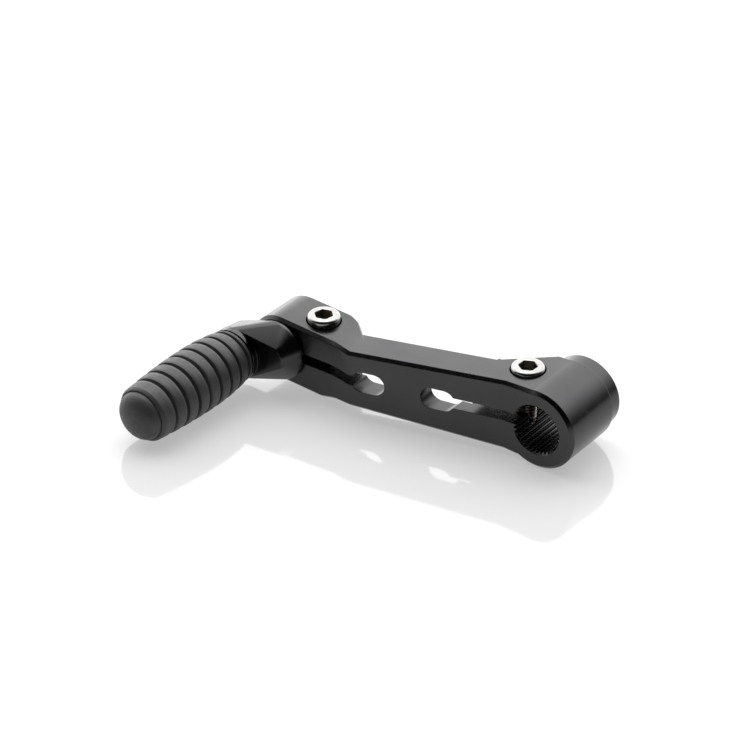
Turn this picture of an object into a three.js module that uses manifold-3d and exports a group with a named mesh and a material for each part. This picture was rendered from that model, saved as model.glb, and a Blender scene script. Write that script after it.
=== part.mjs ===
// Gear shift lever for a motorcycle: a splined clamp hub, a slim arm, and a second clamp that
// grips an eccentric carrier with a rubber-covered toe peg.
// Millimetres. Origin: where the hub's bore axis meets the hub's front face. The bore runs along
// +Y (towards the engine), the arm runs towards -X, and +Z is up.

import * as THREE from 'three';
import { ConvexGeometry } from 'three/addons/geometries/ConvexGeometry.js';
import { mergeVertices } from 'three/addons/utils/BufferGeometryUtils.js';
import Module from 'manifold-3d';

const wasm = await Module();
wasm.setup();

// ---------------------------------------------------------------- driving dimensions

// Overall
const reach = 85.4;
const pivotRise = 1;

// Splined hub
const hubRadius = 12.7;
const hubLength = 21.4;
const bossRadius = 11.6;
const bossLength = 5.3;
const splineCount = 36;
const splineTipRadius = 7.25;
const splineDepth = 0.65;
const splineLeadIn = 0.5;

// Arm. Its front and back faces are parallel and lean forwards as they leave the hub.
const armLean = 13.9;
const armThickness = 11.7;
const armFrontStart = 11.2;
const armTopDrop = 2.3;
const armTopInset = 0.1;
const armBottomRise = 3.1;
const armBottomInset = 1.1;
const fillerReach = 20;

// Pocket milled into the back of the arm
const pocketWall = 1.8;
const pocketCorner = 2;
const pocketMargin = 2.5;
const webNearHub = 4.9;
const webNearBlock = 7.4;

// Gusset between the back of the arm and the back of the hub
const gussetAngle = 39.6;
const gussetEnd = 6.1;

// Peg clamp block, and the neck that joins it to the arm
const blockHeight = 21.2;
const blockDepth = 16;
const blockPitch = 3;
const blockCorner = 1.5;
const blockLength = 15.4;
const blockStep = 1.3;
const neckLength = 11.5;
const neckMiddle = 5;
const neckRise = 1.1;
const shoulderWidth = 3.5;
const shoulderDepth = 1.5;
const neckBackLength = 8.5;

// Edges, slits and relief slots
const edgeChamfer = 1;
const backChamfer = 0.7;
const rearChamfer = 0.35;
const slitLevel = 0.9;
const slitWidth = 3.5;
const slotWidth = 6.9;
const slotLength = 10.4;
const hubSlotShare = 0.304;
const pegSlotShare = 0.676;

// Clamp screws
const screwRadius = 3;
const screwHeadRadius = 5;
const screwHeadHeight = 6;
const screwChamfer = 0.5;
const screwHexWidth = 5;
const screwHexDepth = 3;
const hubScrewBite = 0.65;
const hubScrewForward = 1;
const hubScrewLength = 18;
const hubHeadProud = 1.4;
const hubHexTurn = 27;
const pegScrewWall = 0.85;
const pegScrewLength = 16;
const pegHeadProud = 2.2;
const pegHexTurn = 17;

// Thread inserts
const insertWall = 0.5;
const insertLength = 4;

// Eccentric carrier
const spigotRadius = 6.5;
const flangeRadius = 9.5;
const flangeThickness = 1.2;
const carrierDepth = 6.9;
const carrierTailRadius = 7.7;
const carrierBossDepth = 1.7;
const carrierBossRadius = 8.4;
const pegOffset = 11.2;
const pegOffsetAngle = 190.6;
const noseRadius = 6.6;
const noseFrom = -8;
const noseTo = 49;

// Toe peg pin
const pinRadius = 5.2;
const barbHeight = 0.7;
const barbLength = 2;
const barbCrest = 1.2;
const studRadius = 4;
const studLength = 6.2;

// Toe peg rubber
const rubberLength = 45.4;
const rubberEndRadius = 8.45;
const rubberBarrelRadius = 9.95;
const rubberBarrelAt = 0.4;
const rubberTipRadius = 8.6;
const rubberFloor = 9;
const domeHeight = 4.8;
const domeRadius = 8.35;
const grooveCount = 8;
const grooveFirst = 1.9;
const grooveLast = 5.1;
const grooveWidth = 0.9;
const grooveDepth = 0.7;

// Fits
const runningGap = 0.15;
const restGap = 0.3;
const headGap = 0.4;

// Smoothness
const hubSides = 96;
const boreSides = 64;
const screwSides = 40;
const insertSides = 32;
const rubberSides = 40;

// ---------------------------------------------------------------- worked out from those

const radians = THREE.MathUtils.degToRad;
const slope = (degrees) => Math.tan(radians(degrees));
const splineRootRadius = splineTipRadius + splineDepth;
const hubBack = hubLength + bossLength;

const armFront = (x) => slope(armLean) * (x + armFrontStart);
const armBack = (x) => armFront(x) + armThickness / Math.cos(radians(armLean));
const armTop = (x) => hubRadius - armTopInset + x * slope(armTopDrop);
const armBottom = (x) => armBottomInset - hubRadius - x * slope(armBottomRise);
const gussetBack = (x) => hubLength + slope(gussetAngle) * (x + gussetEnd);
const gussetStart = crossing(gussetBack, armBack);

const pivotX = -reach;
const pivotZ = pivotRise;
const blockRadius = blockHeight / 2;
const blockEnd = pivotX + blockLength;
const armEnd = blockEnd + neckLength;
const armBackEnd = blockEnd + neckBackLength;
const blockFront = armFront(armEnd) + blockStep;
const blockBack = blockFront + blockDepth;
const blockMiddle = (x) => pivotZ - (x - pivotX) * slope(blockPitch);
const blockTop = (x) => blockMiddle(x) + blockRadius;
const blockBottom = (x) => blockMiddle(x) - blockRadius;

const hubSlotEnd = -hubSlotShare * reach;
const pegSlotStart = -pegSlotShare * reach;
const pocketNear = hubSlotEnd + pocketMargin;
const pocketFar = armBackEnd - pocketWall / 2;

const holeRadius = screwRadius + restGap;
const insertRadius = holeRadius + insertWall;
const hubScrewX = hubScrewBite - splineTipRadius - screwRadius;
const hubScrewY = hubLength / 2 - hubScrewForward;
const hubSeat = armTop(hubScrewX) + hubHeadProud - screwHeadHeight;
const pegScrewX = pivotX + spigotRadius + runningGap + pegScrewWall + holeRadius;
const pegScrewY = (blockFront + blockBack) / 2;
const pegSeat = blockTop(pegScrewX) + pegHeadProud - screwHeadHeight;

const pegX = pivotX + pegOffset * Math.cos(radians(pegOffsetAngle));
const pegZ = pivotZ + pegOffset * Math.sin(radians(pegOffsetAngle));
const carrierBack = blockFront - restGap;
const carrierFace = carrierBack - carrierDepth;
const carrierFront = carrierFace - carrierBossDepth;
const rubberBase = carrierFront - restGap;

// Where two straight lines y(x) cross.
function crossing(first, second) {
  const gap = (x) => first(x) - second(x);
  return -gap(0) / (gap(1) - gap(0));
}

// ---------------------------------------------------------------- shape helpers

function solid(geometry) {
  const bare = geometry.clone();
  bare.deleteAttribute('normal');
  bare.deleteAttribute('uv');
  const merged = mergeVertices(bare, 1e-4);
  return new wasm.Manifold(new wasm.Mesh({
    numProp: 3,
    vertProperties: new Float32Array(merged.attributes.position.array),
    triVerts: new Uint32Array(merged.index.array),
  }));
}

function geometryOf(manifold) {
  const mesh = manifold.getMesh();
  const geometry = new THREE.BufferGeometry();
  geometry.setAttribute('position', new THREE.BufferAttribute(mesh.vertProperties, 3));
  geometry.setIndex(new THREE.BufferAttribute(mesh.triVerts, 1));
  return geometry.toNonIndexed();
}

// A turned shape about a line parallel to Y. The profile is [radius, y] pairs, rising in y.
function turned(profile, x, z, sides) {
  const points = profile.map(([radius, y]) => new THREE.Vector2(radius, y));
  return new THREE.LatheGeometry(points, sides).translate(x, 0, z);
}

// A round hole's core about a line parallel to Y, reaching past both faces it pierces.
function core(radius, low, high, x, z) {
  return turned([
    [0, low - 1], [radius, low - 1], [radius, high + 1], [0, high + 1],
  ], x, z, boreSides);
}

// A turned shape about a vertical line. The profile is [radius, z] pairs, rising in z.
function turnedUpright(profile, x, y, sides, turn = 0) {
  const points = profile.map(([radius, height]) => new THREE.Vector2(radius, height));
  return new THREE.LatheGeometry(points, sides)
    .rotateX(Math.PI / 2)
    .rotateZ(radians(turn))
    .translate(x, y, 0);
}

// A plain rod between two levels, standing on a point (x, y).
function rod(radius, low, high, x, y) {
  return turnedUpright([[0, low], [radius, low], [radius, high], [0, high]], x, y, insertSides);
}

// An outline drawn in X and Z, pushed through everything along Y.
function pushedThrough(shape) {
  const far = reach;
  return new THREE.ExtrudeGeometry(shape, {
    depth: 2 * far, bevelEnabled: false, curveSegments: 16,
  }).rotateX(Math.PI / 2).translate(0, far, 0);
}

// A bar wrapped round cross-sections, each { x, front, back, bottom, top }, long edges broken.
function bar(sections) {
  const c = edgeChamfer;
  const b = backChamfer;
  return new ConvexGeometry(sections.flatMap(({ x, front, back, bottom, top }) => [
    [front, top - c], [front + c, top], [back - b, top], [back, top - b],
    [back, bottom + b], [back - b, bottom], [front + c, bottom], [front, bottom + c],
  ].map(([y, z]) => new THREE.Vector3(x, y, z))));
}

// Points on an arc in the X-Z plane, angles in degrees from +X towards +Z.
function arc(x, z, radius, from, to, steps) {
  return Array.from({ length: steps + 1 }, (_, i) => {
    const angle = radians(from + (to - from) * i / steps);
    return [x + radius * Math.cos(angle), z + radius * Math.sin(angle)];
  });
}

// The convex body that wraps several X-Z outlines. Each one's y is a level or a function of x.
function wrapped(layers) {
  return new ConvexGeometry(layers.flatMap(({ y, outline }) => (
    outline.map(([x, z]) => new THREE.Vector3(x, typeof y === 'function' ? y(x) : y, z))
  )));
}

// ---------------------------------------------------------------- lever arm

function hubBody() {
  return turned([
    [0, 0], [hubRadius - edgeChamfer, 0], [hubRadius, edgeChamfer],
    [hubRadius, hubLength - rearChamfer], [hubRadius - rearChamfer, hubLength], [0, hubLength],
  ], 0, 0, hubSides);
}

function bossBody() {
  return turned([
    [0, hubLength / 2], [bossRadius, hubLength / 2], [bossRadius, hubBack - rearChamfer],
    [bossRadius - rearChamfer, hubBack], [0, hubBack],
  ], 0, 0, hubSides);
}

// A cross-section of the arm. Faces that are not given are the arm's own.
function armSection(x, faces = {}) {
  return {
    x, front: armFront(x), back: armBack(x), bottom: armBottom(x), top: armTop(x), ...faces,
  };
}

// The back of the arm runs on past the end of its front, to where the neck's back begins.
function armBody() {
  return bar([armSection(armBackEnd, { front: blockFront }), armSection(armEnd), armSection(0)]);
}

// Fills the corner between the leaning arm and the flat front of the hub.
function fillerBody() {
  const faces = { front: 0, back: hubLength / 2 };
  return bar([armSection(-fillerReach, faces), armSection(0, faces)]);
}

function gussetBody() {
  const section = (x) => armSection(x, {
    front: hubLength / 4, back: Math.min(gussetBack(x), hubLength),
  });
  return bar([section(gussetStart), section(-gussetEnd), section(0)]);
}

// The neck runs from the block's full section to the arm's, in two convex lengths.
function neckBodies() {
  const root = {
    x: blockEnd, front: blockFront, back: blockBack,
    bottom: blockBottom(blockEnd), top: blockTop(blockEnd),
  };
  const shoulderX = blockEnd + shoulderWidth;
  const backSlope = (blockBack - shoulderDepth - armBack(armBackEnd)) / (armBackEnd - shoulderX);
  const backFace = (x) => armBack(armBackEnd) + backSlope * (armBackEnd - x);
  const middleX = blockEnd + neckMiddle;
  const shoulder = {
    x: shoulderX, front: blockFront, back: blockBack - shoulderDepth,
    bottom: root.bottom + neckRise * shoulderWidth / neckMiddle, top: blockTop(shoulderX),
  };
  const middle = {
    x: middleX, front: blockFront, back: backFace(middleX),
    bottom: root.bottom + neckRise, top: blockTop(middleX),
  };
  const end = armSection(armEnd, { back: backFace(armEnd) });
  return [bar([root, shoulder, middle]), bar([middle, end])];
}

function blockBody() {
  const side = (radius) => [
    ...arc(pivotX, pivotZ, radius, 90 - blockPitch, 270 - blockPitch, 24),
    [blockEnd, blockMiddle(blockEnd) - radius],
    [blockEnd, blockMiddle(blockEnd) + radius],
  ];
  const full = side(blockRadius);
  const shell = solid(wrapped([
    { y: blockFront, outline: side(blockRadius - edgeChamfer) },
    { y: blockFront + edgeChamfer, outline: full },
    { y: blockBack - backChamfer, outline: full },
    { y: blockBack, outline: side(blockRadius - backChamfer) },
  ]));
  return shell.intersect(solid(blockPlan()));
}

// The block seen from above, with its two outer corners rounded.
function blockPlan() {
  const left = pivotX - blockRadius;
  const right = blockEnd + blockHeight;
  const r = blockCorner;
  const shape = new THREE.Shape();
  shape.moveTo(right, blockFront);
  shape.lineTo(right, blockBack);
  shape.lineTo(left + r, blockBack);
  shape.absarc(left + r, blockBack - r, r, Math.PI / 2, Math.PI, false);
  shape.absarc(left + r, blockFront + r, r, Math.PI, 1.5 * Math.PI, false);
  shape.lineTo(right, blockFront);
  return new THREE.ExtrudeGeometry(shape, {
    depth: 2 * blockHeight, bevelEnabled: false, curveSegments: 4,
  }).translate(0, 0, pivotZ - blockHeight);
}

// The splined bore: grooves cut out to the root radius, teeth left at the tip radius.
function splineCut() {
  const shape = new THREE.Shape();
  const pitch = 2 * Math.PI / splineCount;
  for (let tooth = 0; tooth < splineCount; tooth += 1) {
    [[0.06, splineTipRadius], [0.34, splineRootRadius], [0.66, splineRootRadius],
      [0.94, splineTipRadius]].forEach(([share, radius], i) => {
      const angle = (tooth + share) * pitch;
      const method = tooth + i === 0 ? 'moveTo' : 'lineTo';
      shape[method](radius * Math.cos(angle), radius * Math.sin(angle));
    });
  }
  shape.closePath();
  return pushedThrough(shape);
}

// Cones at both mouths of the bore, so the shaft finds its way in.
function leadIns() {
  const wide = splineRootRadius + splineLeadIn / 2;
  const narrow = splineTipRadius - restGap;
  const depth = splineLeadIn + splineDepth;
  const cone = (profile) => turned(profile, 0, 0, boreSides);
  const front = cone([[0, -1], [wide, -1], [wide, 0], [narrow, depth], [0, depth]]);
  const back = cone([
    [0, hubBack - depth], [narrow, hubBack - depth], [wide, hubBack], [wide, hubBack + 1],
    [0, hubBack + 1],
  ]);
  return [front, back];
}

// A round-ended slot, and a slit that runs from it to a bore.
function slotAndSlit(start, boreX) {
  const r = slotWidth / 2;
  const slot = new THREE.Shape();
  slot.absarc(start + r, slitLevel, r, Math.PI / 2, 1.5 * Math.PI, false);
  slot.absarc(start + slotLength - r, slitLevel, r, -Math.PI / 2, Math.PI / 2, false);
  slot.closePath();
  const slotMiddle = start + slotLength / 2;
  const low = Math.min(slotMiddle, boreX);
  const high = Math.max(slotMiddle, boreX);
  const slit = new THREE.Shape();
  slit.moveTo(low, slitLevel - slitWidth / 2);
  slit.lineTo(high, slitLevel - slitWidth / 2);
  slit.lineTo(high, slitLevel + slitWidth / 2);
  slit.lineTo(low, slitLevel + slitWidth / 2);
  slit.closePath();
  return [pushedThrough(slot), pushedThrough(slit)];
}

// The pocket in the back of the arm. It leaves a web that grows thicker towards the block.
function pocketCut() {
  const r = pocketCorner;
  const webGrowth = (webNearBlock - webNearHub) / (pocketNear - pocketFar);
  const web = (x) => armFront(x) + webNearHub + webGrowth * (pocketNear - x);
  const past = (x) => web(x) + 2 * armThickness;
  const corner = (x, z, from) => arc(x, z, r, from, from + 90, 4);
  const outline = [
    ...corner(pocketNear - r, armTop(pocketNear) - pocketWall - r, 0),
    ...corner(pocketFar + r, armTop(pocketFar) - pocketWall - r, 90),
    ...corner(pocketFar + r, armBottom(pocketFar) + pocketWall + r, 180),
    ...corner(pocketNear - r, armBottom(pocketNear) + pocketWall + r, 270),
  ];
  return wrapped([{ y: web, outline }, { y: past, outline }]);
}

// Counterbore, clearance hole all the way down, and the wider hole for the insert.
function screwCuts(x, y, seat, length) {
  const insertTop = seat - length + insertLength;
  const below = -2 * hubRadius;
  return [
    rod(screwHeadRadius + headGap, seat, seat + 2 * screwHeadHeight, x, y),
    rod(holeRadius, below, seat + restGap, x, y),
    rod(insertRadius + restGap, below, insertTop + restGap, x, y),
  ];
}

function leverArm() {
  const body = [hubBody(), bossBody(), armBody(), fillerBody(), gussetBody(), ...neckBodies()]
    .map(solid)
    .reduce((whole, piece) => whole.add(piece), blockBody());
  const cuts = [
    splineCut(), ...leadIns(),
    core(spigotRadius + runningGap, blockFront, blockBack, pivotX, pivotZ),
    ...slotAndSlit(hubSlotEnd - slotLength, 0),
    ...slotAndSlit(pegSlotStart, pivotX),
    pocketCut(),
    ...screwCuts(hubScrewX, hubScrewY, hubSeat, hubScrewLength),
    ...screwCuts(pegScrewX, pegScrewY, pegSeat, pegScrewLength),
  ];
  return cuts.map(solid).reduce((whole, cut) => whole.subtract(cut), body);
}

// ---------------------------------------------------------------- screws and inserts

// A socket cap screw, standing on (x, y) with the underside of its head at the seat.
function capScrew(x, y, seat, length, hexTurn) {
  const c = screwChamfer;
  const top = seat + screwHeadHeight;
  const body = turnedUpright([
    [0, seat - length], [screwRadius - c, seat - length], [screwRadius, seat - length + c],
    [screwRadius, seat], [screwHeadRadius, seat], [screwHeadRadius, top - c],
    [screwHeadRadius - c, top], [0, top],
  ], x, y, screwSides);
  const hexRadius = screwHexWidth / Math.sqrt(3);
  const socket = turnedUpright([
    [0, top - screwHexDepth], [hexRadius, top - screwHexDepth], [hexRadius, top + 1], [0, top + 1],
  ], x, y, 6, hexTurn);
  return solid(body).subtract(solid(socket));
}

// A thread insert: the sleeve at the bottom of the hole that the screw's end bites into.
function threadInsert(x, y, seat, length) {
  const low = seat - length;
  const high = low + insertLength;
  return turnedUpright([
    [holeRadius, low], [insertRadius, low], [insertRadius, high], [holeRadius, high],
    [holeRadius, low],
  ], x, y, insertSides);
}

// ---------------------------------------------------------------- eccentric carrier

function carrier() {
  const rim = [
    ...arc(pivotX, pivotZ, flangeRadius, 0, 350, 47),
    ...arc(pegX, pegZ, carrierTailRadius, 90, 270, 16),
  ];
  const face = [
    ...arc(pivotX, pivotZ, noseRadius, noseFrom, noseTo, 8),
    ...arc(pegX, pegZ, carrierBossRadius, 0, 352.5, 47),
  ];
  const body = solid(wrapped([
    { y: carrierBack, outline: rim },
    { y: carrierBack - flangeThickness, outline: rim },
    { y: carrierFace, outline: face },
  ]));
  const boss = turned([
    [0, carrierFront], [carrierBossRadius, carrierFront], [carrierBossRadius, carrierFace + 1],
    [0, carrierFace + 1],
  ], pegX, pegZ, boreSides);
  const spigot = turned([
    [0, carrierBack - 1], [spigotRadius, carrierBack - 1],
    [spigotRadius, blockBack - edgeChamfer], [spigotRadius - edgeChamfer, blockBack],
    [0, blockBack],
  ], pivotX, pivotZ, boreSides);
  const studHole = core(
    studRadius + restGap, carrierFront, carrierFront + studLength + restGap - 1, pegX, pegZ,
  );
  return body.add(solid(boss)).add(solid(spigot)).subtract(solid(studHole));
}

// ---------------------------------------------------------------- toe peg

// The steel pin inside the rubber: a stud for the carrier, a shank and two barbs.
function pegPin() {
  const length = rubberLength - rubberFloor - restGap;
  const tip = rubberBase - length;
  const barbRadius = pinRadius + barbHeight;
  const barb = (y) => [
    [pinRadius, y - barbLength], [barbRadius, y - barbCrest], [barbRadius, y], [pinRadius, y],
  ];
  return turned([
    [0, tip], [pinRadius - 1, tip], [pinRadius, tip + 1],
    ...barb(tip + length / 4), ...barb(tip + length * 3 / 4),
    [pinRadius, rubberBase], [studRadius, rubberBase], [studRadius, carrierFront + studLength],
    [0, carrierFront + studLength],
  ], pegX, pegZ, screwSides);
}

const ribbedLength = rubberLength - domeHeight;

// Outside radius of the rubber at a distance from its base: a barrel.
function rubberRadius(along) {
  const share = along / ribbedLength;
  const end = share < rubberBarrelAt ? rubberEndRadius : rubberTipRadius;
  const span = share < rubberBarrelAt ? rubberBarrelAt : 1 - rubberBarrelAt;
  const away = Math.abs(share - rubberBarrelAt) / span;
  return rubberBarrelRadius - (rubberBarrelRadius - end) * away ** 2;
}

// The ribbed rubber sleeve, closed by a dome at its free end and open at the carrier.
function pegRubber() {
  const pitch = (ribbedLength - grooveFirst - grooveLast) / (grooveCount - 1);
  const half = grooveWidth / 2;
  const outside = [[rubberRadius(0) - grooveDepth, 0], [rubberRadius(0), grooveDepth]];
  for (let i = 0; i < grooveCount; i += 1) {
    const at = grooveFirst + i * pitch;
    outside.push(
      [rubberRadius(at - half), at - half],
      [rubberRadius(at) - grooveDepth, at - half / 2],
      [rubberRadius(at) - grooveDepth, at + half / 2],
      [rubberRadius(at + half), at + half],
    );
    if (i < grooveCount - 1) {
      outside.push([rubberRadius(at + pitch / 2), at + pitch / 2]);
    }
  }
  outside.push([rubberTipRadius, ribbedLength - grooveDepth / 2], [domeRadius, ribbedLength]);
  const domeSteps = 5;
  for (let i = 1; i < domeSteps; i += 1) {
    const angle = Math.PI / 2 * i / domeSteps;
    outside.push([domeRadius * Math.cos(angle), ribbedLength + domeHeight * Math.sin(angle)]);
  }
  outside.push([0, rubberLength]);
  const hollow = rubberLength - rubberFloor;
  const boreRadius = pinRadius + barbHeight + restGap;
  const profile = [[0, hollow], [boreRadius, hollow], [boreRadius, 0], ...outside];
  const alongPeg = profile.map(([radius, along]) => [radius, rubberBase - along]);
  return turned(alongPeg.reverse(), pegX, pegZ, rubberSides);
}

// ---------------------------------------------------------------- assembly

const blackAnodised = { color: 0x1b1c1e, roughness: 0.32, metalness: 0.85 };
const stainless = { color: 0xc9cbcc, roughness: 0.25, metalness: 1 };
const blackRubber = { color: 0x2c2d2e, roughness: 0.75, metalness: 0 };

function node(name, geometry, finish) {
  const shape = geometry.isBufferGeometry ? geometry : geometryOf(geometry);
  const mesh = new THREE.Mesh(shape, new THREE.MeshStandardMaterial(finish));
  mesh.name = name;
  return mesh;
}

const hubScrew = [hubScrewX, hubScrewY, hubSeat, hubScrewLength];
const pegScrew = [pegScrewX, pegScrewY, pegSeat, pegScrewLength];
const group = new THREE.Group();
group.add(
  node('lever_arm', leverArm(), blackAnodised),
  node('hub_clamp_screw', capScrew(...hubScrew, hubHexTurn), stainless),
  node('hub_clamp_insert', threadInsert(...hubScrew), stainless),
  node('peg_clamp_screw', capScrew(...pegScrew, pegHexTurn), stainless),
  node('peg_clamp_insert', threadInsert(...pegScrew), stainless),
  node('eccentric_carrier', carrier(), blackAnodised),
  node('peg_pin', pegPin(), stainless),
  node('peg_rubber', pegRubber(), blackRubber),
);

export default group;
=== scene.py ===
"""Looks for a motorcycle gear shift lever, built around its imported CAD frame."""

import math

import bmesh
import bpy
from mathutils import Matrix, Vector


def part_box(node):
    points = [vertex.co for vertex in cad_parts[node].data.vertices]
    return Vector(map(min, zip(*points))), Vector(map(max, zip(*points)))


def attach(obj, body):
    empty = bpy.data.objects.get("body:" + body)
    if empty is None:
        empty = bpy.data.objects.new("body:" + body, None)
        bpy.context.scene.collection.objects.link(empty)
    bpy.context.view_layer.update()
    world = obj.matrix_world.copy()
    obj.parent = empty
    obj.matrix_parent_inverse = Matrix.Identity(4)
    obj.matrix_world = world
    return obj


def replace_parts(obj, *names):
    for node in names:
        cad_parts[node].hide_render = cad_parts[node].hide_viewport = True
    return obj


MM = 0.001

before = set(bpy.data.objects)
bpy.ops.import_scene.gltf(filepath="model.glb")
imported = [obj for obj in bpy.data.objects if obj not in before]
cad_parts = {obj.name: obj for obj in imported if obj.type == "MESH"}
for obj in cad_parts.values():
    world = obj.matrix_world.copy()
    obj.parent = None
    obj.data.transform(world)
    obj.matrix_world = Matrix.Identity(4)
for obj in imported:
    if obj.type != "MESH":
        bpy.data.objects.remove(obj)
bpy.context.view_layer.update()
scene = bpy.context.scene

# ---------------------------------------------------------------- node helpers

BEVEL_SAMPLES = 6


class Shader:
    """A node material with one Principled shader. Lengths inside it are in metres."""

    def __init__(self, name):
        self.material = bpy.data.materials.new(name)
        self.material.use_nodes = True
        self.tree = self.material.node_tree
        self.shader = self.tree.nodes["Principled BSDF"]
        self.place = self.node("ShaderNodeTexCoord").outputs["Object"]

    def node(self, kind, **settings):
        made = self.tree.nodes.new(kind)
        for key, value in settings.items():
            setattr(made, key, value)
        return made

    def link(self, source, target):
        self.tree.links.new(source, target)

    def math(self, operation, first, second=0.0, clamp=False):
        made = self.node("ShaderNodeMath", operation=operation, use_clamp=clamp)
        for socket, value in zip(made.inputs, (first, second)):
            if isinstance(value, (int, float)):
                socket.default_value = value
            else:
                self.link(value, socket)
        return made.outputs[0]

    def noise(self, scale, detail=3.0, roughness=0.5, stretch=None):
        made = self.node("ShaderNodeTexNoise")
        made.inputs["Scale"].default_value = scale
        made.inputs["Detail"].default_value = detail
        made.inputs["Roughness"].default_value = roughness
        place = self.place
        if stretch:
            mapping = self.node("ShaderNodeMapping")
            mapping.inputs["Scale"].default_value = stretch
            self.link(place, mapping.inputs["Vector"])
            place = mapping.outputs["Vector"]
        self.link(place, made.inputs["Vector"])
        return made.outputs["Fac"]

    def spread(self, source, low, high, from_low=0.3, from_high=0.7):
        made = self.node("ShaderNodeMapRange")
        made.inputs["From Min"].default_value = from_low
        made.inputs["From Max"].default_value = from_high
        made.inputs["To Min"].default_value = low
        made.inputs["To Max"].default_value = high
        self.link(source, made.inputs["Value"])
        return made.outputs["Result"]

    def colours(self, source, first, second, from_low=0.3, from_high=0.7):
        ramp = self.node("ShaderNodeValToRGB")
        ramp.color_ramp.elements[0].position = from_low
        ramp.color_ramp.elements[1].position = from_high
        ramp.color_ramp.elements[0].color = (*first, 1)
        ramp.color_ramp.elements[1].color = (*second, 1)
        self.link(source, ramp.inputs["Fac"])
        self.link(ramp.outputs["Color"], self.shader.inputs["Base Color"])

    def rounded(self, radius):
        """The surface normal with edges broken by a small radius."""
        made = self.node("ShaderNodeBevel")
        made.samples = BEVEL_SAMPLES
        made.inputs["Radius"].default_value = radius
        return made.outputs["Normal"]

    def bump(self, height, strength, distance, under=None):
        made = self.node("ShaderNodeBump")
        made.inputs["Strength"].default_value = strength
        made.inputs["Distance"].default_value = distance
        self.link(height, made.inputs["Height"])
        if under:
            self.link(under, made.inputs["Normal"])
        return made.outputs["Normal"]

    def finish(self, roughness, normal, **constants):
        self.link(roughness, self.shader.inputs["Roughness"])
        self.link(normal, self.shader.inputs["Normal"])
        for key, value in constants.items():
            self.shader.inputs[key.replace("_", " ")].default_value = value
        return self.material


# ---------------------------------------------------------------- materials

# Where cutter marks show in the slots, slits and bores: near the slit's level, from the far side of
# the hub's bore to just past the outer side of the block's bore. Each pair is where they fade.
SLIT_LEVEL = 0.0009
MILLED_HALF_HEIGHT = (0.0078, 0.0084)
MILLED_HUB_END = (0.0078, 0.0082)
MILLED_BLOCK_END = (-0.0935, -0.0930)
MILLED_ROUGHER = 0.05
EDGE_ROUNDING = 0.3 * MM


def black_anodised(name, milled_inside):
    """Tumbled aluminium under a black oxide layer. Milled ones have streaks in slots and bores."""
    s = Shader(name)
    s.colours(s.noise(90, 4), (0.055, 0.055, 0.057), (0.065, 0.064, 0.065))
    geometry = s.node("ShaderNodeNewGeometry")
    normal = s.node("ShaderNodeSeparateXYZ")
    s.link(geometry.outputs["True Normal"], normal.inputs[0])
    place = s.node("ShaderNodeSeparateXYZ")
    s.link(s.place, place.inputs[0])
    around = s.math("SUBTRACT", 1.0, s.math("ABSOLUTE", normal.outputs["Y"]), clamp=True)
    level = s.math("ABSOLUTE", s.math("SUBTRACT", place.outputs["Z"], SLIT_LEVEL))
    inside = s.spread(level, 1.0, 0.0, *MILLED_HALF_HEIGHT)
    before = s.spread(place.outputs["X"], 1.0, 0.0, *MILLED_HUB_END)
    after = s.spread(place.outputs["X"], 0.0, 1.0, *MILLED_BLOCK_END)
    here = s.math("MULTIPLY", s.math("MULTIPLY", before, after), milled_inside)
    cut = s.math("MULTIPLY", s.math("MULTIPLY", around, inside), here, clamp=True)
    streaks = s.math("MULTIPLY", s.noise(1, 3, 0.6, (1900, 120, 1900)), cut)
    grain = s.bump(s.noise(7000, 2), 0.04, 0.00002, s.rounded(EDGE_ROUNDING))
    waves = s.bump(s.noise(300, 3), 0.05, 0.00005, grain)
    milled = s.bump(streaks, 0.20, 0.00005, waves)
    rougher = s.math("MULTIPLY", cut, MILLED_ROUGHER)
    roughness = s.math("ADD", s.spread(s.noise(600, 4), 0.17, 0.23), rougher)
    return s.finish(roughness, milled, Metallic=1.0)


def stainless():
    """Bright stainless steel of the cap screws."""
    s = Shader("stainless")
    s.colours(s.noise(700, 4), (0.30, 0.296, 0.288), (0.37, 0.364, 0.355))
    turned = s.bump(s.noise(1, 3, 0.6, (900, 900, 9000)), 0.15, 0.00003)
    pitted = s.bump(s.noise(5200, 3), 0.12, 0.00002, turned)
    return s.finish(s.spread(s.noise(1500, 4), 0.15, 0.26), pitted, Metallic=1.0)


def oxide_steel():
    """Punched hexagon sockets and rolled threads, which keep a thin brown oxide."""
    s = Shader("oxide_steel")
    s.colours(s.noise(900, 4), (0.17, 0.155, 0.135), (0.27, 0.25, 0.222))
    drawn = s.bump(s.noise(1, 3, 0.6, (2600, 2600, 500)), 0.25, 0.00004)
    return s.finish(s.spread(s.noise(1500, 4), 0.30, 0.45), drawn, Metallic=1.0)


def pin_steel():
    """Plain turned steel of the pin and the thread inserts."""
    s = Shader("pin_steel")
    s.colours(s.noise(500, 4), (0.36, 0.355, 0.35), (0.46, 0.455, 0.45))
    turned = s.bump(s.noise(1, 3, 0.6, (700, 7000, 700)), 0.3, 0.00004)
    return s.finish(s.spread(s.noise(1200, 4), 0.28, 0.42), turned, Metallic=1.0)


def peg_rubber():
    """Moulded black rubber: matt, with a fine spark-eroded grain and faint mould bloom."""
    s = Shader("peg_rubber")
    s.colours(s.noise(260, 5, 0.6), (0.034, 0.0345, 0.0355), (0.050, 0.0505, 0.052))
    bloom = s.bump(s.noise(520, 4, 0.6), 0.12, 0.0001)
    grain = s.bump(s.noise(4600, 3, 0.6), 0.30, 0.00005, bloom)
    roughness = s.spread(s.noise(900, 4), 0.42, 0.56)
    return s.finish(roughness, grain, Specular_IOR_Level=0.5)


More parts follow.
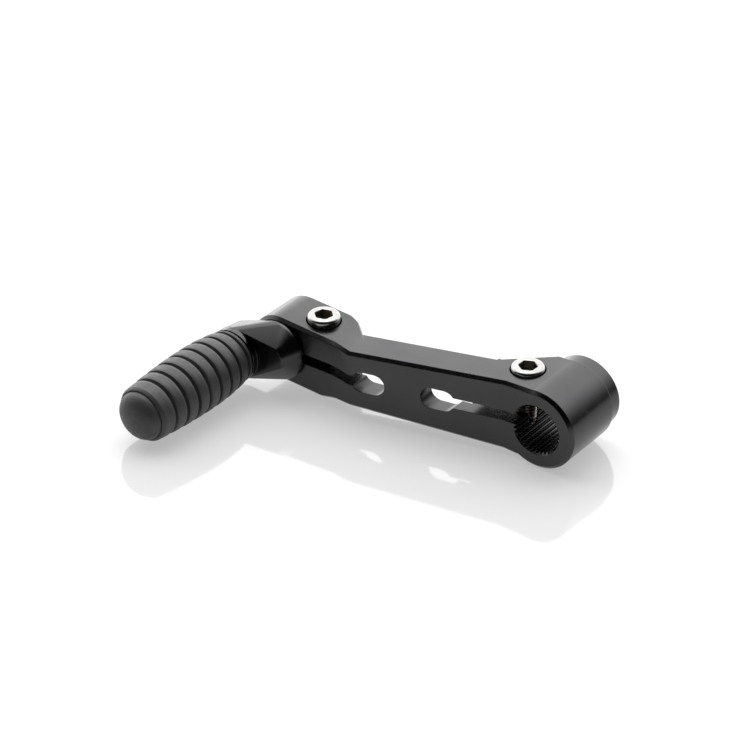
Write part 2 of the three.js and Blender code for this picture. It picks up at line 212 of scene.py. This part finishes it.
def white_floor():
    """Glossy white acrylic sheet of a light table, which glows a little from below."""
    s = Shader("white_floor")
    s.colours(s.noise(3, 2), (0.36, 0.36, 0.36), (0.37, 0.37, 0.37))
    s.shader.inputs["Emission Color"].default_value = (1, 1, 1, 1)
    normal = s.bump(s.noise(30, 2), 0.02, 0.0002)
    roughness = s.spread(s.noise(8, 2), 0.05, 0.07)
    return s.finish(roughness, normal, Emission_Strength=0.42, Specular_IOR_Level=0.5)


ANODISED = black_anodised("black_anodised_milled", 1.0)
ANODISED_TURNED = black_anodised("black_anodised_turned", 0.0)
STAINLESS = stainless()
OXIDE = oxide_steel()
STEEL = pin_steel()
RUBBER = peg_rubber()

# ---------------------------------------------------------------- kept CAD nodes


def smooth_by_angle(degrees):
    """A modifier group that keeps edges sharper than an angle crisp, and shades the rest smooth."""
    group = bpy.data.node_groups.new(f"smooth_below_{degrees}", "GeometryNodeTree")
    group.interface.new_socket("Geometry", in_out="INPUT", socket_type="NodeSocketGeometry")
    group.interface.new_socket("Geometry", in_out="OUTPUT", socket_type="NodeSocketGeometry")
    source = group.nodes.new("NodeGroupInput")
    target = group.nodes.new("NodeGroupOutput")
    angle = group.nodes.new("GeometryNodeInputMeshEdgeAngle")
    sharp = group.nodes.new("FunctionNodeCompare")
    sharp.data_type = "FLOAT"
    sharp.operation = "GREATER_THAN"
    sharp.inputs["B"].default_value = math.radians(degrees)
    shade = group.nodes.new("GeometryNodeSetShadeSmooth")
    shade.domain = "EDGE"
    shade.inputs["Shade Smooth"].default_value = False
    group.links.new(source.outputs["Geometry"], shade.inputs["Geometry"])
    group.links.new(angle.outputs["Unsigned Angle"], sharp.inputs["A"])
    group.links.new(sharp.outputs["Result"], shade.inputs["Selection"])
    group.links.new(shade.outputs["Geometry"], target.inputs["Geometry"])
    return group


CRISP_EDGE = 26
CRISP_CARRIER_EDGE = 34
WELD_DISTANCE = 0.002 * MM
FACE_AREA_WEIGHT = 90


def dress(name, material, crisp=CRISP_EDGE):
    """Gives a CAD node its finish, and shades its curved faces smooth with modifiers."""
    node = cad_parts[name]
    mesh = node.data
    mesh.materials.clear()
    mesh.materials.append(material)
    for spare in ("custom_normal", "sharp_edge", "sharp_face"):
        if spare in mesh.attributes:
            mesh.attributes.remove(mesh.attributes[spare])
    mesh.shade_smooth()
    weld = node.modifiers.new("weld", "WELD")
    weld.merge_threshold = WELD_DISTANCE
    smooth = node.modifiers.new("smooth", "NODES")
    smooth.node_group = smooth_by_angle(crisp)
    weighted = node.modifiers.new("weighted", "WEIGHTED_NORMAL")
    weighted.weight = FACE_AREA_WEIGHT
    weighted.keep_sharp = True


dress("lever_arm", ANODISED)
dress("eccentric_carrier", ANODISED_TURNED, CRISP_CARRIER_EDGE)
for steel_part in ("hub_clamp_insert", "peg_clamp_insert", "peg_pin"):
    dress(steel_part, STEEL)

# ---------------------------------------------------------------- lofted pieces


def loft(name, rings, material, sharp):
    """A closed skin through rings of equal length. A ring of one point closes an end."""
    mesh = bpy.data.meshes.new(name)
    made = bmesh.new()
    rows = [[made.verts.new(point) for point in ring] for ring in rings]
    for low, high in zip(rows, rows[1:]):
        count = max(len(low), len(high))
        for i in range(count):
            j = (i + 1) % count
            if len(low) == 1:
                made.faces.new((low[0], high[j], high[i]))
            elif len(high) == 1:
                made.faces.new((low[i], low[j], high[0]))
            else:
                made.faces.new((low[i], low[j], high[j], high[i]))
    bmesh.ops.recalc_face_normals(made, faces=made.faces)
    made.to_mesh(mesh)
    made.free()
    mesh.shade_smooth()
    mesh.set_sharp_from_angle(angle=math.radians(sharp))
    mesh.materials.append(material)
    piece = bpy.data.objects.new(name, mesh)
    scene.collection.objects.link(piece)
    return piece


def quarter(radius, height, size, steps):
    """Points (radius, height) of a quarter round, from the side of a cylinder up to its flat end."""
    return [
        (radius - size + size * math.cos(a), height - size + size * math.sin(a))
        for a in (math.radians(90 * i / steps) for i in range(steps + 1))
    ]


# ---------------------------------------------------------------- cap screws

SCREW_AROUND = 96
HEAD_HEIGHT = 6.0
HEAD_RADIUS = 5.0
HEAD_FILLET = 1.1
HEAD_FILLET_STEPS = 7
HEAD_UNDERCUT = 0.2
NECK_FILLET = 0.2
SCREW_SHARP = 30
OXIDE_UNDER_HEAD = 0.3
OXIDE_UNDER_RIM = 0.2
THREAD_RADIUS = 3.0
THREAD_ROOT = 2.45
THREAD_PITCH = 1.0
THREAD_STEPS = 10
THREAD_START = 0.1
THREAD_STOP = 0.4
THREAD_FADE = 1.2
THREAD_STEEPNESS = 2.6
THREAD_CREST = 0.25
TIP_CHAMFER = 0.25
TIP_LEAST = 0.15
HEX_APOTHEM = 2.5
HEX_DEPTH = 3.0
HEX_CHAMFER = 0.35
HEX_RIM = 0.25
HEX_RIM_INNER = 0.08
HEX_RIM_LEAST = 0.02
HEX_RIM_DROP = 0.06
HEX_FLOOR_ROUND = 0.1
HEX_DRILL = 0.7


def thread_depth(turns):
    """0 at the crest of the thread and 1 at its root, for a place along one pitch."""
    share = turns % 1.0
    return min(1.0, max(0.0, (0.5 - abs(share - 0.5)) * THREAD_STEEPNESS - THREAD_CREST))


def hexagon(angle, apothem):
    """Distance from the middle to the side of a hexagon with a corner at angle 0."""
    return apothem / math.cos((angle % (math.pi / 3)) - math.pi / 6)


def cap_screw(node, turn):
    """A socket cap screw with a modelled thread, in the place of a CAD one. turn is its socket's."""
    low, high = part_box(node)
    x, y = (low.x + high.x) / 2, (low.y + high.y) / 2
    length = (high.z - low.z) / MM - HEAD_HEIGHT
    angles = [2 * math.pi * i / SCREW_AROUND for i in range(SCREW_AROUND)]

    def ring(height, radius_at):
        points = []
        for angle in angles:
            radius = radius_at(angle) * MM
            points.append((
                x + radius * math.cos(angle + turn), y + radius * math.sin(angle + turn),
                low.z + height * MM,
            ))
        return points

    def round_ring(height, radius):
        return ring(height, lambda angle: radius)

    def thread_ring(height):
        lead = min(1.0, height / THREAD_PITCH)
        fade = min(1.0, max(0.0, (length - THREAD_FADE - height) / THREAD_PITCH))

        def radius_at(angle):
            depth = thread_depth(height / THREAD_PITCH - angle / (2 * math.pi))
            crest = THREAD_ROOT + (THREAD_RADIUS - THREAD_ROOT) * max(lead, TIP_LEAST)
            return crest - (crest - THREAD_ROOT) * depth * fade
        return ring(height, radius_at)

    rings = [[(x, y, low.z)], round_ring(0, THREAD_ROOT - TIP_CHAMFER)]
    rows = int(round((length - THREAD_STOP) / THREAD_PITCH * THREAD_STEPS))
    rings += [thread_ring(THREAD_START + i / THREAD_STEPS * THREAD_PITCH) for i in range(rows)]
    rings.append(round_ring(length - NECK_FILLET, THREAD_RADIUS))
    rings.append(round_ring(length, THREAD_RADIUS + NECK_FILLET))
    rings.append(round_ring(length, HEAD_RADIUS - HEAD_UNDERCUT))
    rings.append(round_ring(length + HEAD_UNDERCUT, HEAD_RADIUS))
    top = length + HEAD_HEIGHT
    rings += [round_ring(h, r) for r, h in quarter(HEAD_RADIUS, top, HEAD_FILLET, HEAD_FILLET_STEPS)]
    corner = hexagon(0, HEX_APOTHEM)
    rings += [round_ring(top, corner + HEX_RIM), round_ring(top - HEX_RIM_DROP, corner + HEX_RIM_INNER)]
    for share in (0.35, 1.0):
        rings.append(ring(
            top - HEX_CHAMFER * share,
            lambda angle, s=share: hexagon(angle, HEX_APOTHEM) * s
            + min(corner + HEX_RIM_LEAST, hexagon(angle, HEX_APOTHEM) + HEX_RIM) * (1 - s),
        ))
    floor = top - HEX_DEPTH
    rings.append(ring(floor + HEX_FLOOR_ROUND, lambda angle: hexagon(angle, HEX_APOTHEM)))
    rings.append(ring(floor, lambda angle: hexagon(angle, HEX_APOTHEM - HEX_FLOOR_ROUND)))
    rings.append(round_ring(floor, HEX_APOTHEM - HEX_RIM))
    rings.append([(x, y, low.z + (floor - HEX_DRILL) * MM)])
    piece = loft(node + "_look", rings, STAINLESS, SCREW_SHARP)
    piece.data.materials.append(OXIDE)
    for face in piece.data.polygons:
        from_axis = math.hypot(face.center.x - x, face.center.y - y) / MM
        height = (face.center.z - low.z) / MM
        in_socket = from_axis < corner and height < top - OXIDE_UNDER_RIM
        if height < length - OXIDE_UNDER_HEAD or in_socket:
            face.material_index = 1
    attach(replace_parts(piece, node), "lever")


HUB_SOCKET_TURN = math.radians(27)
PEG_SOCKET_TURN = math.radians(17)

cap_screw("hub_clamp_screw", HUB_SOCKET_TURN)
cap_screw("peg_clamp_screw", PEG_SOCKET_TURN)

# ---------------------------------------------------------------- rubber peg

RUBBER_AROUND = 160
RUBBER_BASE_RADIUS = 8.45
RUBBER_BARREL_RADIUS = 9.95
RUBBER_BARREL_AT = 0.4
RUBBER_TIP_RADIUS = 8.6
DOME_HEIGHT = 4.8
DOME_STEPS = 22
DOME_SEAT = 0.34
DOME_INSET = 0.96
RUBBER_SHARP = 50
RUBBER_STEP = 0.11
GROOVES = 8
GROOVE_FIRST = 1.9
GROOVE_LAST = 5.1
GROOVE_HALF = 0.60
GROOVE_DEPTH = 1.25
RIB_CROWN = 0.20
RIB_CROWN_WIDTH = 1.1
PIN_BORE = 6.2
PIN_FLOOR = 9.0
PIN_BORE_CORNER = 0.4
PIN_BORE_MOUTH = 0.3
BARREL_START = 0.6
BARREL_STOP = 0.5
# Pairs: how far inside the end's radius, and how far along from the base or past the ribs.
BASE_EDGE = ((0.6, 0.0), (0.2, 0.12), (0.02, 0.45))
TIP_LIP = ((0.02, -0.45), (0.08, -0.30), (0.52, 0.40), (0.66, 0.44), (0.94, 0.30))


def rubber_outside(along, ribbed):
    """Radius of the barrel, less its grooves, at a distance from the base."""
    share = along / ribbed
    end = RUBBER_BASE_RADIUS if share < RUBBER_BARREL_AT else RUBBER_TIP_RADIUS
    span = RUBBER_BARREL_AT if share < RUBBER_BARREL_AT else 1 - RUBBER_BARREL_AT
    radius = RUBBER_BARREL_RADIUS
    radius -= (radius - end) * (abs(share - RUBBER_BARREL_AT) / span) ** 2
    pitch = (ribbed - GROOVE_FIRST - GROOVE_LAST) / (GROOVES - 1)
    nearest = min(GROOVES - 1, max(0, round((along - GROOVE_FIRST) / pitch)))
    away = abs(along - GROOVE_FIRST - nearest * pitch)
    if away < GROOVE_HALF:
        return radius - GROOVE_DEPTH + (GROOVE_DEPTH - RIB_CROWN) * (away / GROOVE_HALF) ** 6
    crown = min(1.0, (away - GROOVE_HALF) / RIB_CROWN_WIDTH)
    return radius - RIB_CROWN * (1 - crown) ** 2


def rubber_peg():
    """The ribbed rubber, turned about the peg's axis: its bore, base, barrel, lip and dome."""
    node = "peg_rubber"
    low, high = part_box(node)
    x, z = (low.x + high.x) / 2, (low.z + high.z) / 2
    length = (high.y - low.y) / MM
    ribbed = length - DOME_HEIGHT
    hollow = length - PIN_FLOOR
    profile = [(0, hollow), (PIN_BORE - PIN_BORE_CORNER, hollow)]
    profile += [(PIN_BORE, hollow - PIN_BORE_CORNER), (PIN_BORE, PIN_BORE_MOUTH)]
    profile.append((PIN_BORE + PIN_BORE_MOUTH, 0))
    profile += [(RUBBER_BASE_RADIUS - inset, along) for inset, along in BASE_EDGE]
    at = BARREL_START
    while at < ribbed - BARREL_STOP:
        profile.append((rubber_outside(at, ribbed), at))
        at += RUBBER_STEP
    profile += [(RUBBER_TIP_RADIUS - inset, ribbed + past) for inset, past in TIP_LIP]
    for i in range(1, DOME_STEPS):
        angle = math.pi / 2 * i / DOME_STEPS
        profile.append((
            (RUBBER_TIP_RADIUS - DOME_INSET) * math.cos(angle),
            ribbed + DOME_SEAT + (DOME_HEIGHT - DOME_SEAT) * math.sin(angle),
        ))
    profile.append((0, length))
    rings = []
    for radius, along in profile:
        y = high.y - along * MM
        if radius == 0:
            rings.append([(x, y, z)])
            continue
        rings.append([
            (x + radius * MM * math.cos(a), y, z + radius * MM * math.sin(a))
            for a in (2 * math.pi * i / RUBBER_AROUND for i in range(RUBBER_AROUND))
        ])
    piece = loft(node + "_look", rings, RUBBER, RUBBER_SHARP)
    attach(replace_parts(piece, node), "peg")


rubber_peg()

# ---------------------------------------------------------------- floor, light and camera

# The floor passes under the hub and the rubber, tilted as it lies in the photograph.
FLOOR_LEVEL = -12.75
FLOOR_RISE_X = 0.0005
FLOOR_RISE_Y = -0.0318
FLOOR_HALF = 6.0


def light_table():
    """The floor, one flat sheet."""
    mesh = bpy.data.meshes.new("floor")
    corners = [(sx * FLOOR_HALF, sy * FLOOR_HALF) for sx, sy in ((-1, -1), (1, -1), (1, 1), (-1, 1))]
    mesh.from_pydata(
        [(x, y, FLOOR_LEVEL * MM + FLOOR_RISE_X * x + FLOOR_RISE_Y * y) for x, y in corners],
        [], [(0, 1, 2, 3)],
    )
    mesh.materials.append(white_floor())
    floor = bpy.data.objects.new("floor", mesh)
    scene.collection.objects.link(floor)


BRIGHT_SIDE = Vector((-0.56, 0.72, 0.42)).normalized()
SKY_EDGE = (0.08, 0.65)
SKY_STRENGTH = (0.02, 2.65)


def studio_sky():
    """A dark studio with one wide bright side, which fades out towards the camera."""
    world = bpy.data.worlds.new("studio")
    scene.world = world
    world.use_nodes = True
    tree = world.node_tree
    sky = tree.nodes["Background"]
    toward = tree.nodes.new("ShaderNodeTexCoord")
    dot = tree.nodes.new("ShaderNodeVectorMath")
    dot.operation = "DOT_PRODUCT"
    dot.inputs[1].default_value = BRIGHT_SIDE
    tree.links.new(toward.outputs["Generated"], dot.inputs[0])
    glow = tree.nodes.new("ShaderNodeMapRange")
    glow.interpolation_type = "SMOOTHSTEP"
    glow.inputs["From Min"].default_value, glow.inputs["From Max"].default_value = SKY_EDGE
    glow.inputs["To Min"].default_value, glow.inputs["To Max"].default_value = SKY_STRENGTH
    tree.links.new(dot.outputs["Value"], glow.inputs["Value"])
    tree.links.new(glow.outputs["Result"], sky.inputs["Strength"])
    sky.inputs["Color"].default_value = (1, 1, 1, 1)


LIGHT_AIM = Vector((-0.04, -0.02, 0.0))


def softbox(name, place, size, power):
    """A rectangular area light, aimed at the lever."""
    light = bpy.data.lights.new(name, "AREA")
    light.shape = "RECTANGLE"
    light.size, light.size_y = size
    light.energy = power
    lamp = bpy.data.objects.new(name, light)
    lamp.location = place
    aim = LIGHT_AIM - Vector(place)
    lamp.rotation_euler = aim.to_track_quat("-Z", "Y").to_euler()
    scene.collection.objects.link(lamp)


light_table()
studio_sky()
softbox("overhead", (-0.30, 0.25, 1.05), (0.8, 0.6), 2.2)

CAMERA_PLACE = Vector((361.79, -558.33, 436.70)) * MM
CAMERA_AZIMUTH = math.radians(36.9)
CAMERA_ELEVATION = math.radians(32.2)
CAMERA_LENS = 133.22

sin_a, cos_a = math.sin(CAMERA_AZIMUTH), math.cos(CAMERA_AZIMUTH)
sin_e, cos_e = math.sin(CAMERA_ELEVATION), math.cos(CAMERA_ELEVATION)
right = Vector((cos_a, sin_a, 0))
up = Vector((-sin_e * sin_a, sin_e * cos_a, cos_e))
back = Vector((cos_e * sin_a, -cos_e * cos_a, sin_e))
camera = bpy.data.objects.new("camera", bpy.data.cameras.new("camera"))
camera.data.sensor_width = 36
camera.data.lens = CAMERA_LENS
camera.data.clip_start = 0.01
turn = Matrix((right, up, back)).transposed().to_4x4()
camera.matrix_world = Matrix.Translation(CAMERA_PLACE) @ turn
scene.collection.objects.link(camera)
scene.camera = camera
scene.view_settings.view_transform = "Standard"
